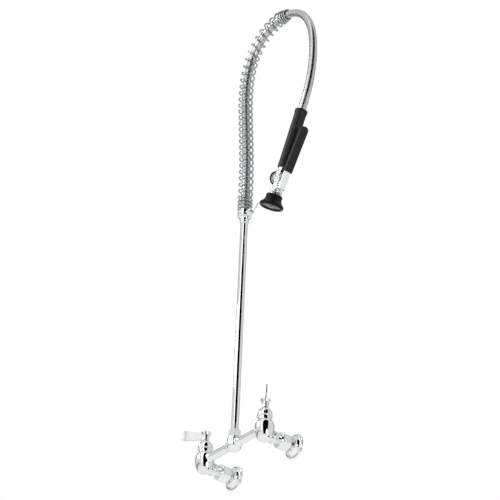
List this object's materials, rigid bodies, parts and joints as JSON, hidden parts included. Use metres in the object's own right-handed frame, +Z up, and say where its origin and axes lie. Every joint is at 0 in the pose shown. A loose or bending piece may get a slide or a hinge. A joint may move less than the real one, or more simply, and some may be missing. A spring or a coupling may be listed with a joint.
{
  "type": "pre rinse faucet",
  "caption": "Wall-mounted pre-rinse faucet: bridge mixer with lever handles, tall riser, coil spring arch over a flexible hose, and a squeeze-lever spray handset on a finger hook.",
  "frame": {"origin": "on the finished wall, midway between the two inlets, which lie on the X axis", "axes": "+Y into the wall, -Y towards the user, +Z up the riser, +X along the bridge towards the cold side and the hooked handset"},
  "size_m": [0.3845, 0.1209, 1.1813],
  "materials": {
    "chrome": "polished chrome plating on brass and steel",
    "steel": "plain stainless steel",
    "spring_steel": "drawn stainless spring wire",
    "steel_hose": "stainless braid over a rubber hose",
    "brass": "machined brass",
    "black_plastic": "black moulded plastic, fine texture",
    "black_rubber": "black moulded rubber, soft sheen",
    "seal_rubber": "black seal rubber",
    "hot_index": "glossy red plastic, plain",
    "cold_index": "glossy blue plastic, plain"
  },
  "bodies": {
    "base": {"mixing_body": "chrome", "riser_gland_nut": "chrome", "riser_packing": "seal_rubber", "riser_gland_washer": "brass", "left_union_nut": "chrome", "left_union_gasket": "seal_rubber", "left_inlet_arm": "chrome", "left_wall_flange": "chrome", "left_cartridge": "chrome", "left_stem_packing": "seal_rubber", "left_packing_gland": "brass", "left_bonnet": "chrome", "right_union_nut": "chrome", "right_union_gasket": "seal_rubber", "right_inlet_arm": "chrome", "right_wall_flange": "chrome", "right_cartridge": "chrome", "right_stem_packing": "seal_rubber", "right_packing_gland": "brass", "right_bonnet": "chrome"},
    "left_handle_set": {"left_handle": "chrome", "left_stem": "brass", "left_handle_screw": "steel", "left_index_button": "hot_index"},
    "left_plunger_set": {"left_valve_plunger": "brass", "left_seat_washer": "seal_rubber"},
    "right_handle_set": {"right_handle": "chrome", "right_stem": "brass", "right_handle_screw": "steel", "right_index_button": "cold_index"},
    "right_plunger_set": {"right_valve_plunger": "brass", "right_seat_washer": "seal_rubber"},
    "lever": {"squeeze_lever": "chrome", "lever_grip": "black_plastic"},
    "spray_plunger": {"plunger": "brass", "plunger_washer": "seal_rubber"},
    "riser": {"face_screw": "steel", "finger_hook": "steel", "grip_sleeve": "black_plastic", "handle_tube": "steel", "hook_collar": "chrome", "hook_set_screw": "steel", "hose": "steel_hose", "hose_nut": "steel", "hose_washer": "seal_rubber", "lower_ferrule": "steel", "neck_ring": "chrome", "nozzle_cup": "chrome", "overhead_spring": "spring_steel", "pivot_pin": "steel", "plunger_seal": "seal_rubber", "plunger_spring": "steel", "riser_pipe": "chrome", "spray_bell": "black_rubber", "spray_face": "steel", "spring_seat": "chrome", "upper_ferrule": "steel", "valve_body": "chrome", "valve_bonnet": "chrome"}
  },
  "joints": [
    {"name": "riser_swivel", "type": "hinge", "parent": "base", "child": "riser", "pos_m": [0, -0.086, 0.035], "axis": [0, 0, 1], "range_deg": [-180, 0]},
    {"name": "left_handle_turn", "type": "hinge", "parent": "base", "child": "left_handle_set", "pos_m": [-0.1016, -0.086, 0.06], "axis": [0, 0, 1], "range_deg": [0, 90]},
    {"name": "left_valve_lift", "type": "slide", "parent": "base", "child": "left_plunger_set", "axis": [0, 0, 1], "range_m": [0, 0.004], "stiffness_N_per_m": 2, "springref_m": 0.085},
    {"name": "right_handle_turn", "type": "hinge", "parent": "base", "child": "right_handle_set", "pos_m": [0.1016, -0.086, 0.06], "axis": [0, 0, -1], "range_deg": [0, 90]},
    {"name": "right_valve_lift", "type": "slide", "parent": "base", "child": "right_plunger_set", "axis": [0, 0, 1], "range_m": [0, 0.004], "stiffness_N_per_m": 2, "springref_m": 0.085},
    {"name": "lever_squeeze", "type": "hinge", "parent": "riser", "child": "lever", "pos_m": [0.12797, -0.086, 0.62444], "axis": [0, -1, 0], "range_deg": [0, 6], "stiffness_Nm_per_rad": 1.5, "springref_deg": -14.32},
    {"name": "plunger_push", "type": "slide", "parent": "riser", "child": "spray_plunger", "axis": [-0.9135, 0, 0.4067], "range_m": [0, 0.0028], "deforming": ["plunger_spring"]}
  ],
  "couplings": [
    {"joint": "left_valve_lift", "follows": "left_handle_turn", "m_per_rad": 0.0025465},
    {"joint": "right_valve_lift", "follows": "right_handle_turn", "m_per_rad": 0.0025465},
    {"joint": "plunger_push", "follows": "lever_squeeze", "m_per_rad": 0.026}
  ]
}
